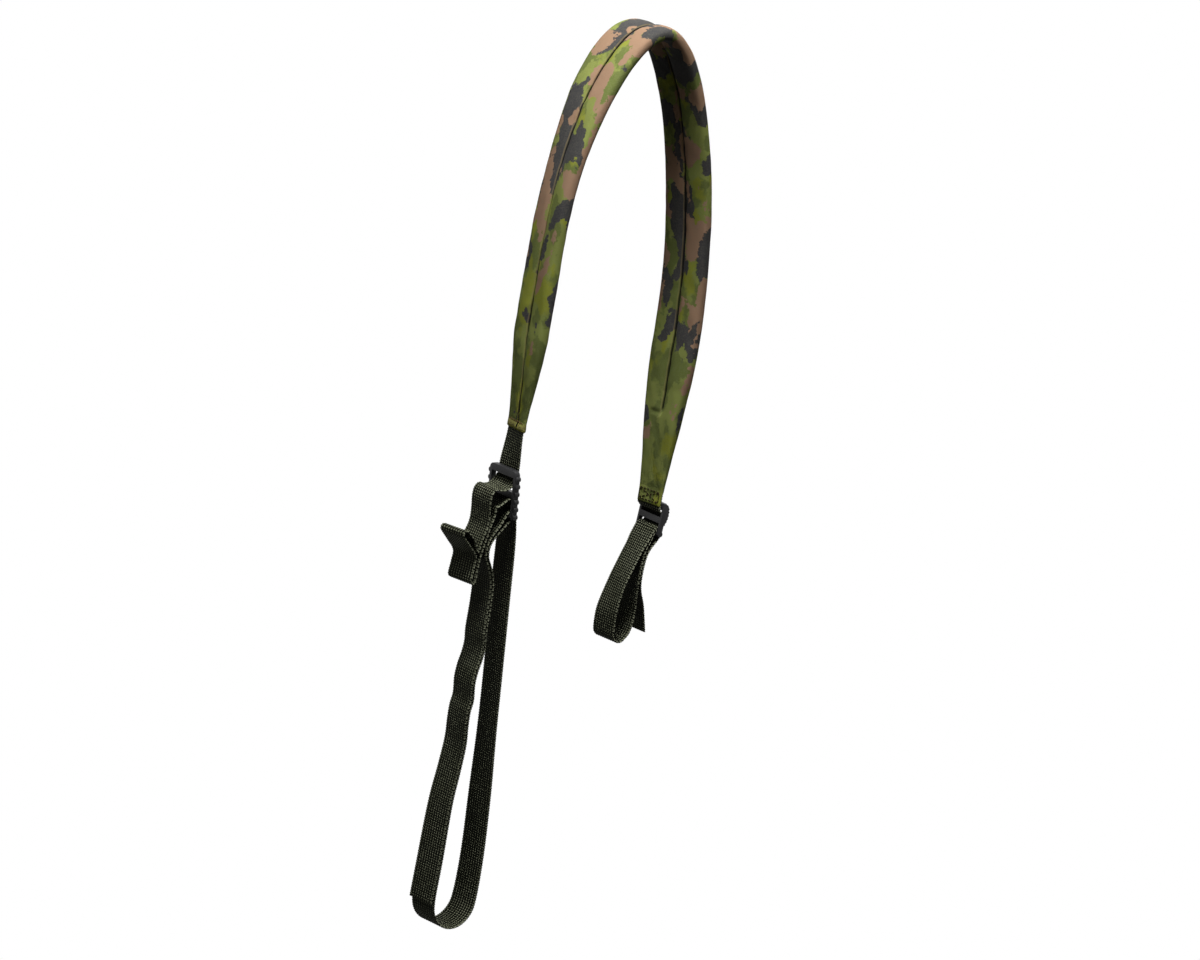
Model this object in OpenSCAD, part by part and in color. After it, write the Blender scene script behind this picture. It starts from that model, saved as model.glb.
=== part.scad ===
// Padded carrying sling, hung over a point as an inverted U.
// X runs from the front leg to the rear leg, Y across the strap, Z up.
// The origin is where the inner face of the pad's top rests on its hanger. Millimetres.

/* [Pad] */
// width of the pad between its tapers
pad_w = 45; // [36:1:60]
// thickness over the crowns of the two channels
pad_t = 11; // [8:0.5:16]
// width of the pad at each end
end_w = 28; // [26:1:34]
// length of the taper at the front end
taper_len = 80; // [50:1:100]
// length of the taper at the rear end
rear_taper_len = 120; // [80:1:120]
// distance from the hanger out to the front leg
front_reach = 67; // [55:1:90]
// distance from the hanger out to the rear leg
rear_reach = 83; // [65:1:100]
// height of the front half of the arch
front_arch = 160; // [130:1:190]
// height of the rear half of the arch
rear_arch = 235; // [200:1:260]
// depth of the front end of the pad below the top
front_drop = 301; // [280:1:330]
// depth of the rear end of the pad below the top
rear_drop = 356; // [340:1:380]
// how long the pad stays flat over the hanger, as a curve handle
arch_handle = 36; // [25:1:45]
// turn of the front leg about its own length, in degrees
leg_twist = 17; // [0:1:25]
// thickness of the cover cloth
cloth_t = 0.8; // [0.5:0.1:1.2]
// half thickness of the pad where it is sewn flat
seam_h = 2.2; // [2:0.1:2.6]
// how flat the tops of the two channels are
channel_form = 4; // [2:0.5:6]
// share of the height inside the cover that the foam fills
foam_fill = 0.84; // [0.78:0.01:0.88]
// how far the inner panel laps down over the rear slider
rear_lap = 9; // [7:0.5:11]
// thickness of the sewing thread
thread_t = 0.6; // [0.4:0.1:0.8]

/* [Webbing] */
// width of the webbing
web_w = 25; // [20:0.5:26]
// thickness of the webbing
web_t = 1.4; // [1:0.1:1.7]
// room between a layer of webbing and what it passes
web_gap = 0.35; // [0.3:0.05:0.5]

/* [Sliders] */
// width of a slot, across the webbing
slot_w = 27.5; // [27:0.5:30]
// width of a side rail without its knobs
rail_w = 2.6; // [2:0.2:4]
// thickness of the moulding
slider_t = 4.2; // [3.6:0.2:5]
// distance from one bar to the next
bar_pitch = 15.8; // [14.5:0.1:18]
// radius of the round lower bar
bar_r = 2.2; // [1.8:0.1:2.5]
// height of the flat upper bar
top_bar_h = 5.4; // [4:0.2:6]
// height of the flat middle bar
mid_bar_h = 4.6; // [3.6:0.2:5]
// knobs along each rail
knob_count = 6; // [4:1:7]
// radius of a knob
knob_r = 1.9; // [1.4:0.1:2.2]
// lean of the front slider, its foot inward, in degrees
front_lean = 6; // [0:1:12]
// distance from one bar of the rear slider to the next
rear_pitch = 10.4; // [10:0.1:12]
// width of the rear slider's slots
rear_slot_w = 26; // [25.8:0.1:28]
// width of the rear slider's side walls
rear_wall_w = 2.2; // [1.8:0.2:3]
// how far those walls bow out behind
rear_bow = 2.2; // [1.5:0.1:3]
// lean of the rear slider, its foot inward, in degrees
rear_lean = 4; // [2:1:8]
// height of the rear slider's upper bar above the end of the pad
rear_tuck = -0.7; // [-1.2:0.1:0.5]
// room between the pad's webbing and that bar
rear_room = 1.1; // [0.5:0.1:1.5]
// drop from the front end of the pad to the upper bar
stub_len = 31.5; // [30:0.5:45]
// travel of the front slider along its stub
slide_travel = 22; // [10:1:22]

/* [Front webbing] */
// depth of the front loop below the slider's lower bar
loop_drop = 314; // [280:1:340]
// half the width of the front loop's round foot
loop_r = 20.5; // [16:0.5:24]
// length that the tail stops short of the loop's foot
tail_short = 23; // [15:1:60]
// how far the slack stands out from the middle bar
slack_out = 24; // [20:0.5:30]
// how far the slack hangs below the middle bar
slack_drop = 68; // [62:1:80]
// how far the folded tab stands out from the slack
tab_out = 16.6; // [13:0.2:18]
// how far the folded tab rises
tab_rise = 11.6; // [9:0.2:15]
// how far the returning webbing bulges out under the slider
bulge_out = 15; // [13:0.5:17.5]
// depth of that bulge below the slider's lower bar
bulge_drop = 27; // [22:1:32]

/* [Rear webbing] */
// depth of the rear loop below the slider's lower bar
rear_loop_drop = 82.1; // [70:0.1:95]
// half the width of the rear loop's foot
rear_loop_r = 6.6; // [5:0.2:8]
// length of the rear tail below the slider's lower bar
rear_tail_drop = 74; // [66:0.5:78]
// how far in from the lower bar the rear loop's foot hangs
rear_loop_in = 19.4; // [17:0.1:21]
// how far out the end of the rear tail curls
rear_tail_curl = 6.3; // [5:0.1:8]

/* [Hidden] */
$fn = 48;

olive = [0.32, 0.33, 0.24];
black = [0.07, 0.07, 0.08];
green = [0.36, 0.4, 0.2];
tan_thread = [0.36, 0.27, 0.16];

// height of the pad's centreline at the top
top_z = pad_t / 2;
front_end = top_z - front_drop;
rear_end = top_z - rear_drop;
// from the middle of a layer to the face of a flat bar, and round the lower bar
flat_off = slider_t / 2 + web_gap + web_t / 2;
wrap_r1 = bar_r + web_gap + web_t / 2;
wrap_r2 = wrap_r1 + web_t + web_gap;
slider_w = slot_w + 2 * rail_w;

// Bars, as [x, z]: upper, middle, lower.
function bars(top, lean, pitch) = [for (k = [0, 1, 2]) top + k * pitch * [sin(lean), -cos(lean)]];
front_bars = bars([-front_reach - 1.6, front_end - stub_len], front_lean, bar_pitch);
// the rear slider turns on its upper bar, so the webbing clears that bar's corners
rear_bars = bars([rear_reach + norm([slider_t, top_bar_h]) / 2 + rear_room + web_t / 2, rear_end + rear_tuck],
  -rear_lean, rear_pitch);

// Curves in the XZ plane.
function bez(p, t) = pow(1 - t, 3) * p[0] + 3 * pow(1 - t, 2) * t * p[1]
  + 3 * (1 - t) * t * t * p[2] + t * t * t * p[3];
// A curve through every point, with its pace set by the distance between points so that it can't overshoot.
function knot(a, b) = sqrt(max(norm(b - a), 0.001));
function mix(a, b, t0, t1, t) = ((t1 - t) * a + (t - t0) * b) / (t1 - t0);
function span(a, b, c, d, s) =
  let (t1 = knot(a, b), t2 = t1 + knot(b, c), t3 = t2 + knot(c, d), t = t1 + (t2 - t1) * s,
    p = mix(a, b, 0, t1, t), q = mix(b, c, t1, t2, t), r = mix(c, d, t2, t3, t))
  mix(mix(p, q, 0, t2, t), mix(q, r, t1, t3, t), t1, t2, t);
function smooth(p, n) = let (m = len(p) - 1) concat(
  [for (i = [0 : m - 1], k = [0 : n - 1]) span(
    i == 0 ? 2 * p[0] - p[1] : p[i - 1], p[i], p[i + 1], i == m - 1 ? 2 * p[m] - p[m - 1] : p[i + 2], k / n)],
  [p[m]]);
function arc(c, r, a, b, n) = [for (k = [0 : n]) c + r * [cos(a + (b - a) * k / n), sin(a + (b - a) * k / n)]];
// The angle on a circle where a straight run from p meets it, on the side that s picks.
function meet(c, r, p, s) = let (d = p - c) atan2(d[1], d[0]) + s * acos(r / norm(d));
function ease(t) = let (k = min(max(t, 0), 1)) k * k * (3 - 2 * k);
function along(p, i) = let (a = p[max(i - 1, 0)], b = p[min(i + 1, len(p) - 1)]) (b - a) / norm(b - a);
function side(p, i) = let (t = along(p, i)) [-t[1], t[0]];

// A flat strap that follows a path in the XZ plane.
module strap(p, w = web_w, t = web_t) {
  last = len(p) - 1;
  rotate([90, 0, 0])
    translate([0, 0, -w / 2])
      linear_extrude(w)
        polygon(concat(
          [for (i = [0 : last]) p[i] + side(p, i) * t / 2],
          [for (i = [last : -1 : 0]) p[i] - side(p, i) * t / 2]));
}

// A closed skin through equal rings of points.
module skin(rings) {
  n = len(rings[0]);
  m = len(rings);
  half = n / 2;
  polyhedron(
    points = [for (r = rings) each r],
    faces = concat(
      [for (i = [0 : m - 2], j = [0 : n - 1]) let (k = (j + 1) % n)
        each [[i * n + j, i * n + k, (i + 1) * n + j], [i * n + k, (i + 1) * n + k, (i + 1) * n + j]]],
      [for (j = [0 : half - 2]) each cap(j, n, 0, false)],
      [for (j = [0 : half - 2]) each cap(j, n, (m - 1) * n, true)]),
    convexity = 10);
}
function cap(j, n, o, flip) =
  let (a = o + j, b = o + j + 1, c = o + n - 2 - j, d = o + n - 1 - j)
  flip ? [[a, b, d], [b, c, d]] : [[b, a, d], [c, b, d]];

// Centreline from the front end, over the top, to the rear end.
function pad_line(front_cut, rear_cut) = concat(
  [for (k = [0 : 11]) [-front_reach, front_end + front_cut
    + (front_drop - front_arch - front_cut) * pow(k / 12, 1.25)]],
  [for (k = [0 : 11]) bez([[-front_reach, top_z - front_arch], [-front_reach, top_z - front_arch * 0.47],
    [-arch_handle, top_z], [0, top_z]], k / 12)],
  [for (k = [0 : 11]) bez([[0, top_z], [arch_handle, top_z], [rear_reach, top_z - rear_arch * 0.51],
    [rear_reach, top_z - rear_arch]], k / 12)],
  [for (k = [12 : -1 : 0]) [rear_reach, rear_end + rear_cut
    + (rear_drop - rear_arch - rear_cut) * pow(k / 12, 1.25)]]);
function to_end(q) = q[0] < 0 ? q[1] - front_end : q[1] - rear_end;
function twist_at(q) = q[0] < 0 ? leg_twist * ease(-(q[1] - top_z) / 120) : 0;
function taper(q) = ease(to_end(q) / (q[0] < 0 ? taper_len : rear_taper_len));
function half_w(q) = (end_w + (pad_w - end_w) * taper(q)) / 2;
function crown(q) = seam_h + (pad_t / 2 - seam_h) * ease((to_end(q) - 9) / (taper_len * 0.8));
// Half thickness at v, from -1 at one edge to 1 at the other: two crowned channels and a sewn centre.
function puff(q, v) = abs(v) > 0.99 ? cloth_t + 0.2
  : seam_h + (crown(q) - seam_h) * (1 - pow(abs(2 * abs(v) - 1), channel_form));
function across(q) = [sin(twist_at(q)), cos(twist_at(q)), 0];
function out_dir(p, i) = let (t = along(p, i), c = cross([t[0], 0, t[1]], across(p[i]))) c / norm(c);
function at(p, i, y, h) = [p[i][0], 0, p[i][1]] + across(p[i]) * y + out_dir(p, i) * h;

// Rings between two heights over the strip from -reach to reach. face is 1 outward or -1 inward.
function sheet_rings(p, vs, face, cover) = [for (i = [0 : len(p) - 1]) let (q = p[i]) concat(
  [for (v = vs) at(p, i, v * half_w(q),
    face * (cover ? puff(q, v) : (puff(q, v) - cloth_t) * foam_fill))],
  [for (k = [len(vs) - 1 : -1 : 0]) let (v = vs[k]) at(p, i, v * half_w(q) * (cover ? 0.98 : 1),
    face * (cover ? max(puff(q, v) - cloth_t, 0.05) : web_t / 2 + 0.05))])];
function turned(rings, face) = face > 0 ? rings : [for (r = rings) [for (k = [len(r) - 1 : -1 : 0]) r[k]]];
cover_vs = [-1, -0.93, -0.77, -0.5, -0.2, 0, 0.2, 0.5, 0.77, 0.93, 1];
foam_vs = [-0.85, -0.72, -0.48, -0.19, 0, 0.19, 0.48, 0.72, 0.85];

module pad_cover_outer() color(green)
  skin(turned(sheet_rings(pad_line(0, rear_lap), cover_vs, 1, true), 1));
module pad_cover_inner() color(green)
  skin(turned(sheet_rings(pad_line(0, 0), cover_vs, -1, true), -1));
module pad_foam_outer() color([0.75, 0.75, 0.72])
  skin(turned(sheet_rings(pad_line(16, 22), foam_vs, 1, false), 1));
module pad_foam_inner() color([0.75, 0.75, 0.72])
  skin(turned(sheet_rings(pad_line(16, 22), foam_vs, -1, false), -1));

// A flat strip on the pad's line, from height a to height b over its middle.
module pad_strip(p, w, lo, hi) skin([for (i = [0 : len(p) - 1])
  [at(p, i, -w / 2, hi(p[i])), at(p, i, w / 2, hi(p[i])), at(p, i, w / 2, lo(p[i])), at(p, i, -w / 2, lo(p[i]))]]);
module core_webbing() color(olive)
  pad_strip(pad_line(0, 0), web_w, function (q) -web_t / 2, function (q) web_t / 2);
// The seam's thread lies in the valley, where the thread's edges meet the slopes beside it.
function valley(q) = seam_h + 0.08 + (puff(q, 0.2) - seam_h) * thread_t / (0.4 * half_w(q));
module seam_thread_outer() color(tan_thread)
  pad_strip(pad_line(10, rear_lap + 12), thread_t, function (q) valley(q), function (q) valley(q) + thread_t);
module seam_thread_inner() color(tan_thread)
  pad_strip(pad_line(10, 60), thread_t, function (q) -valley(q) - thread_t, function (q) -valley(q));

// One stitch: a short length of thread lying on the cloth, from a to b in the plane of the end.
module stitch(a, b) {
  d = b - a;
  translate([0, a[0], a[1]])
    rotate([atan2(d[1], d[0]), 0, 0])
      rotate([-90, 0, 0])
        cylinder(d = thread_t, h = norm(d), $fn = 16);
}
module front_hem_stitch() color(tan_thread) {
  n = 5;
  run = end_w - 6;
  translate([-front_reach, 0, front_end + 6])
    rotate([0, 0, -leg_twist])
      translate([-seam_h - thread_t / 2 - 0.03, 0, 0])
        for (k = [0 : n - 1])
          stitch([-run / 2 + run * k / n, 0], [-run / 2 + run * (k + 0.8) / n, 0]);
}
module rear_box_stitch() color(tan_thread) {
  run = end_w - 6;
  tall = 10;
  lift = 4;
  gap = 1.4;
  face = crown([rear_reach, rear_end + lift + tall]);
  translate([rear_reach - face - thread_t / 2 - 0.05, 0, rear_end + lift]) {
    for (z = [0, tall])
      stitch([-run / 2 + gap, z], [run / 2 - gap, z]);
    for (y = [-run / 2, run / 2])
      stitch([y, gap], [y, tall - gap]);
    for (s = [-1, 1]) {
      stitch([-s * (run / 2 - gap), gap], [-s * gap, tall / 2 - gap / 2]);
      stitch([s * gap, tall / 2 + gap / 2], [s * (run / 2 - gap), tall - gap]);
    }
  }
}

// A three-bar slider with its upper bar at the origin, bars along Y, foot down.
module slider() {
  hi = top_bar_h / 2;
  lo = -2 * bar_pitch - bar_r;
  corner = 4;
  difference() {
    rotate([90, 0, 90])
      translate([0, 0, -slider_t / 2])
        linear_extrude(slider_t) {
          translate([-slider_w / 2, lo]) square([slider_w, hi - lo - corner]);
          translate([-slider_w / 2 + corner, lo]) square([slider_w - 2 * corner, hi - lo]);
          for (s = [-1, 1])
            translate([s * (slider_w / 2 - corner), hi - corner]) circle(corner);
        }
    slot(-top_bar_h / 2, -bar_pitch + mid_bar_h / 2);
    slot(-bar_pitch - mid_bar_h / 2, lo - 1);
  }
  translate([0, 0, -2 * bar_pitch])
    rotate([90, 0, 0])
      cylinder(r = bar_r, h = slot_w + 2, center = true);
  step = (hi - lo - corner - 2 * knob_r) / (knob_count - 1);
  for (s = [-1, 1], k = [0 : knob_count - 1])
    translate([0, s * slider_w / 2, lo + knob_r + k * step])
      rotate([0, 90, 0])
        cylinder(r = knob_r, h = slider_t * 0.86, center = true);
}
module slot(a, b) translate([-slider_t, -slot_w / 2, b]) cube([2 * slider_t, slot_w, a - b]);
module place(bar, lean) translate([bar[0], 0, bar[1]]) rotate([0, -lean, 0]) children();

module front_slider() color(black) place(front_bars[0], front_lean) slider();

// A short slider with its upper bar at the origin; its side walls bow out behind and have fine ridges.
module short_slider() {
  top = top_bar_h / 2;
  foot = -2 * rear_pitch;
  leg = slider_t * 0.83;
  chord = 1.64 * rear_pitch;
  bow_r = (chord * chord / 4 + rear_bow * rear_bow) / (2 * rear_bow);
  c = [leg - slider_t / 2 + rear_bow - bow_r, top - chord / 2];
  ridge_n = 7;
  ridge_a = asin(chord / 2 / bow_r) * 0.86;
  for (s = [-1, 1])
    translate([0, s * (rear_slot_w + rear_wall_w) / 2, 0]) {
      rotate([90, 0, 0])
        linear_extrude(rear_wall_w, center = true) {
          translate([-slider_t / 2, foot]) square([leg, top - foot]);
          translate([0, foot]) circle(bar_r);
          intersection() {
            translate(c) circle(bow_r, $fn = 120);
            translate([-slider_t / 4, top - chord]) square([slider_t + rear_bow, chord]);
          }
        }
      for (k = [0 : ridge_n - 1]) let (a = ridge_a * (2 * k / (ridge_n - 1) - 1))
        translate([c[0] + bow_r * cos(a), 0, c[1] + bow_r * sin(a)])
          rotate([90, 0, 0])
            cylinder(r = 0.6, h = rear_wall_w * 0.8, center = true, $fn = 16);
    }
  for (k = [0, 1])
    translate([0, 0, -k * rear_pitch])
      cube([slider_t, rear_slot_w + 2, k == 0 ? top_bar_h : mid_bar_h], center = true);
  translate([0, 0, foot])
    rotate([90, 0, 0])
      cylinder(r = bar_r, h = rear_slot_w + 2, center = true);
}
module rear_slider() color(black) place(rear_bars[0], -rear_lean) short_slider();

stub_x = front_bars[0][0] + (slider_t * cos(front_lean) + top_bar_h * sin(front_lean)) / 2 + web_gap + web_t / 2;
stub_foot = front_bars[0][1] - 0.5;
// The stub turns from the pad's lean back to the slider's.
module front_stub() color(olive) {
  n = 10;
  lead = 0.05;
  skin([for (k = [0 : n]) let (
      z = front_end - lead + (stub_foot - front_end + lead) * k / n,
      x = -front_reach + (stub_x + front_reach) * ease(k / n),
      a = leg_twist * (1 - ease(1.25 * k / n)),
      y = [sin(a), cos(a), 0] * web_w / 2,
      h = [-cos(a), sin(a), 0] * web_t / 2,
      c = [x, 0, z])
    [c - y - h, c + y - h, c + y + h, c - y + h]]);
}

// Out through the upper slot, down in loose folds, and back through the lower slot.
module front_slack() color(olive) {
  m = front_bars[1];
  low = front_bars[2];
  pinch = m + [-slack_out - 2.6, -slack_drop * 0.62];
  tip = pinch + [-tab_out, tab_rise];
  fold = m + [-slack_out - 1.6, -slack_drop + 4];
  bend = m + [-slack_out * 0.49, -mid_bar_h / 2 - 5.2];
  strap(smooth(concat(
    [[stub_x + 0.15, stub_foot - web_gap],
      [stub_x - 0.2, m[1] + bar_pitch * 0.6],
      m + [-2.4, mid_bar_h / 2 + web_gap + 2.8],
      m + [-slack_out * 0.27, mid_bar_h / 2 + 1.1],
      m + [-slack_out * 0.48, mid_bar_h / 2 + 0.3],
      m + [-slack_out * 0.65, mid_bar_h / 2 + 0.6],
      m + [-slack_out * 0.775, 0.6],
      m + [-slack_out * 0.82, -slack_drop * 0.075],
      m + [-slack_out * 0.785, -slack_drop * 0.22],
      m + [-slack_out * 0.79, -slack_drop * 0.36],
      m + [-slack_out * 0.93, -slack_drop * 0.51]],
    arc(pinch, 1.5, -25, -140, 6),
    [mix(pinch, tip, 0, 1, 0.5) + [1.3, 1]],
    arc(tip, 1.6, 46, 222, 6),
    [mix(pinch, tip, 0, 1, 0.55) + [-0.2, -3.6],
      pinch + [-1.2, -5],
      m + [-slack_out * 1.165, -slack_drop * 0.82]],
    arc(fold, 2.5, -180, 0, 6),
    [m + [-slack_out * 0.94, -slack_drop * 0.82],
      m + [-slack_out * 0.88, -slack_drop * 0.68],
      m + [-slack_out * 0.76, -slack_drop * 0.5],
      m + [-slack_out * 0.65, -slack_drop * 0.33],
      m + [-slack_out * 0.585, -slack_drop * 0.2]],
    arc(bend, 2.2, 180, 75, 4),
    [m + [-slack_out * 0.29, -mid_bar_h / 2 - 2.2],
      m + [-slider_t / 2, -mid_bar_h / 2 - 1.6],
      m + [slider_t * 0.36, -mid_bar_h / 2 - 2.4],
      m + [slider_t * 0.72, -mid_bar_h / 2 - 4.6]],
    arc(low, wrap_r2, 52, 40, 2)), 3));
}

// Down from the slider, round the foot, up again, over the lower bar and down as the free tail.
module front_loop() color(olive) {
  low = front_bars[2];
  foot = low + [9, -loop_drop + loop_r];
  lay = web_t + 2 * web_gap;
  leave = low + [9, -18];
  back = low + [-bulge_out * 0.44, -bulge_drop * 0.43];
  tail = low + [-bulge_out * 0.56, -bulge_drop * 0.3];
  strap(smooth(concat(
    arc(low, wrap_r2, meet(low, wrap_r2, leave, 1) + 2, meet(low, wrap_r2, leave, 1), 1),
    [leave,
      low + [13, -loop_drop * 0.2],
      low + [21, -loop_drop * 0.46],
      low + [27.4, -loop_drop * 0.7],
      foot + [loop_r + 0.6, 30]],
    arc(foot, loop_r, 0, -180, 8),
    [foot + [-loop_r + 0.2, 30],
      low + [-9.8, -loop_drop * 0.68],
      low + [-5.2, -loop_drop * 0.46],
      low + [-4.6, -loop_drop * 0.22],
      low + [-bulge_out * 0.39, -bulge_drop * 1.9],
      low + [-bulge_out * 0.68, -bulge_drop * 1.48],
      low + [-bulge_out, -bulge_drop * 1.15],
      low + [-bulge_out * 0.99, -bulge_drop * 0.85],
      low + [-bulge_out * 0.79, -bulge_drop * 0.64],
      back],
    arc(low, wrap_r1, meet(low, wrap_r1, back, 1), meet(low, wrap_r1, tail, -1) + 360, 10),
    [tail,
      low + [-bulge_out * 0.9, -bulge_drop * 0.54],
      low + [-bulge_out - lay, -bulge_drop * 0.81],
      low + [-bulge_out - lay * 1.05, -bulge_drop * 1.17],
      low + [-bulge_out * 0.68 - lay, -bulge_drop * 1.52],
      low + [-bulge_out * 0.39 - lay, -bulge_drop * 1.94],
      low + [-4.6 - lay, -loop_drop * 0.22],
      low + [-5.2 - lay, -loop_drop * 0.46],
      low + [-9.8 - lay, -loop_drop * 0.68],
      foot + [-loop_r + 0.2 - lay, 30],
      foot + [-loop_r - lay, tail_short - loop_r]]), 3));
}

// From the pad's end, behind the middle bar and out under it.
module rear_threading() color(olive) {
  m = rear_bars[1];
  low = rear_bars[2];
  far = [cos(rear_lean), sin(-rear_lean)] * (flat_off + 0.7);
  down = [-sin(rear_lean), -cos(rear_lean)];
  turn = m + far + down * 4.7 + [-1.5, 0];
  touch = arc(low, wrap_r2, meet(low, wrap_r2, turn, 1), 0, 1)[0];
  strap(smooth(concat(
    [[rear_reach + 0.05, rear_end - 1.1],
      [rear_reach + 0.3, rear_end - 2.5],
      [rear_reach + 1.5, rear_end - 4.5],
      m + far * 0.05 - down * 5.3,
      m + far * 0.72 - down * 4.2,
      m + far - down * 1.9,
      m + far + [0.2, 0],
      turn,
      mix(turn, touch, 0, 1, 0.86)]), 3));
}

module rear_loop() color(olive) {
  low = rear_bars[2];
  in = rear_loop_in;
  deep = rear_loop_drop;
  foot = low + [-in, -deep + rear_loop_r];
  leave = low + [-in * 0.76, -deep * 0.225];
  back = low + [-in * 0.451, -deep * 0.18];
  strap(smooth(concat(
    arc(low, wrap_r2, meet(low, wrap_r2, leave, -1) + 358, meet(low, wrap_r2, leave, -1) + 360, 1),
    [leave,
      low + [-in * 0.95, -deep * 0.325],
      low + [-in * 1.142, -deep * 0.44],
      low + [-in * 1.296, -deep * 0.59],
      low + [-in * 1.384, -deep * 0.743],
      low + [-in * 1.37, -deep * 0.85]],
    arc(foot, rear_loop_r, 190, 325, 6),
    [low + [-in * 0.552, -deep * 0.925],
      low + [-in * 0.451, -deep * 0.862],
      low + [-in * 0.389, -deep * 0.725],
      low + [-in * 0.43, -deep * 0.572],
      low + [-in * 0.489, -deep * 0.426],
      low + [-in * 0.497, -deep * 0.291],
      back],
    arc(low, wrap_r1, meet(low, wrap_r1, back, -1), -258, 6)), 3));
}

module rear_tail() color(olive) {
  low = rear_bars[2];
  curl = rear_tail_curl;
  deep = rear_tail_drop;
  off = low + [-curl * 0.9, -deep * 0.199];
  strap(smooth(concat(
    arc(low, wrap_r1, 44, meet(low, wrap_r1, off, 1), 5),
    [off,
      low + [-curl * 1.2, -deep * 0.323],
      low + [-curl * 1.167, -deep * 0.472],
      low + [-curl * 0.84, -deep * 0.581],
      low + [-curl * 0.08, -deep * 0.715],
      low + [curl, -deep]]), 3));
}

pad_cover_outer();
pad_cover_inner();
pad_foam_outer();
pad_foam_inner();
core_webbing();
seam_thread_outer();
seam_thread_inner();
front_hem_stitch();
rear_box_stitch();
front_stub();
front_slider();
front_slack();
front_loop();
rear_slider();
rear_threading();
rear_loop();
rear_tail();
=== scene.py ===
"""Looks of the padded carrying sling: sewn pad, woven webbing and two moulded sliders."""
import math

import bmesh
import bpy
from mathutils import Matrix, Vector, noise


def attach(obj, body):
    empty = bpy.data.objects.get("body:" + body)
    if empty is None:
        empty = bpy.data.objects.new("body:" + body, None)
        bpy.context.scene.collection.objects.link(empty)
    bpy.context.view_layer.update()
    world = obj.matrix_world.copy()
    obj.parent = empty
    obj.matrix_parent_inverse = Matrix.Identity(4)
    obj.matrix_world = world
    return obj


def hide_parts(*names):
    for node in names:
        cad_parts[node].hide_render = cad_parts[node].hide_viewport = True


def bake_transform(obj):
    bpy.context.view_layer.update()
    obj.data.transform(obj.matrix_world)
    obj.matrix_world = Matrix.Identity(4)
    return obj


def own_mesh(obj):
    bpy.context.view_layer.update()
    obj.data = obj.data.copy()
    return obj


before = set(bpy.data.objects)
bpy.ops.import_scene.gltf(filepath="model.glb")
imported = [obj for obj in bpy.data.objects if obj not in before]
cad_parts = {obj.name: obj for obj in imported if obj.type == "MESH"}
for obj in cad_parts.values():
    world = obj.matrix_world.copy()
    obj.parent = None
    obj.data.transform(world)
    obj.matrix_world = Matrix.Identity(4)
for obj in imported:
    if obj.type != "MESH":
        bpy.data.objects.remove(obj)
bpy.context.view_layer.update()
MM = 0.001

# Sizes of the solids, in millimetres
PAD_W, PAD_T, END_W, FRONT_TAPER, REAR_TAPER = 45.0, 11.0, 28.0, 80.0, 120.0
FRONT_X, REAR_X = -67.0, 83.0
FRONT_ARCH, REAR_ARCH, HANDLE = 160.0, 235.0, 36.0
FRONT_DROP, REAR_DROP = 301.0, 356.0
TWIST = math.radians(17)
SEAM_H, LAP = 2.2, 9.0
TOP_Z = PAD_T / 2
FRONT_END, REAR_END = TOP_Z - FRONT_DROP, TOP_Z - REAR_DROP
WEB_W, WEB_T, GAP = 25.0, 1.4, 0.35
SLIDER_T, PITCH, BAR_R, TOP_BAR, MID_BAR = 4.2, 15.8, 2.2, 5.4, 4.6
FRONT_LEAN, REAR_LEAN, REAR_TUCK, REAR_ROOM = 6.0, 4.0, -0.7, 1.1
REAR_PITCH, REAR_SLOT = 10.4, 26.0
STUB, LOOP_R = 31.5, 20.5
SLACK_OUT, SLACK_DROP, TAB_OUT, TAB_RISE = 24.0, 68.0, 16.6, 11.6
BULGE_OUT, BULGE_DROP = 15.0, 27.0
REAR_LOOP_R, LOOP_IN, TAIL_CURL = 6.6, 19.4, 6.3
WRAP_1 = BAR_R + GAP + WEB_T / 2
WRAP_2 = WRAP_1 + WEB_T + GAP
FLAT_OFF = SLIDER_T / 2 + GAP + WEB_T / 2

# Lengths that differ from the solids: the loose webbing hangs up to 3 mm lower, and its tails with it
LOOP_DROP, TAIL_SHORT, REAR_LOOP, REAR_TAIL = 316.5, 19.3, 85.1, 77.2

# The pad's mouths: how wide each is, how far aside it hangs, and how far the rear one goes past its solid
FRONT_MOUTH_W, REAR_MOUTH_W, REAR_LIP = END_W + 0.6, END_W - 2.8, 1.0
FRONT_MOUTH, REAR_MOUTH = -1.3, -1.8

# How far each slider and its webbing hang turned, in degrees, and aside
FRONT_TURN, FRONT_ASIDE = 7.0, 0.8
REAR_TURN, REAR_ASIDE = 9.0, -2.8

# The pad's hem, the end of its inner seam, and the step between its rows
HEM, SEAM_STOP, PAD_STEP = 6.0, 70.0, 2.1

# Radius of the seam's thread, and how far the seam and the stitches lie above the cloth they are sewn into
SEAM_R, SEAM_LIFT, STITCH_LIFT = 0.62, 0.8, 0.3

# How far the rear slider's shoulders are drawn in, and the width of the bevel on both sliders
SHOULDER, BEVEL = 1.9, 0.45

# Weave of the webbing: yarn knots across it, the length of one knot, and half the strap's thickness at a knot
# and between knots, then the same at its edge, with how far the edge stands out there
KNOTS, KNOT_L = 10, 1.93
KNOT_H, GROUND_H = 0.74, 0.44
EDGE_KNOT, EDGE_GROUND = (0.46, 1.015), (0.26, 0.985)

# The outer strand of the front loop, softly rippled: places along X and down from the slider's lower bar
RIPPLE = ((-4.6, 69.6), (-4.5, 91), (-3.3, 101), (-4.2, 109.5), (-6.3, 118), (-7.3, 128), (-5.9, 141),
          (-7.2, 149), (-7.1, 159), (-5.9, 174), (-7.5, 196), (-10.1, 219))

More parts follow.
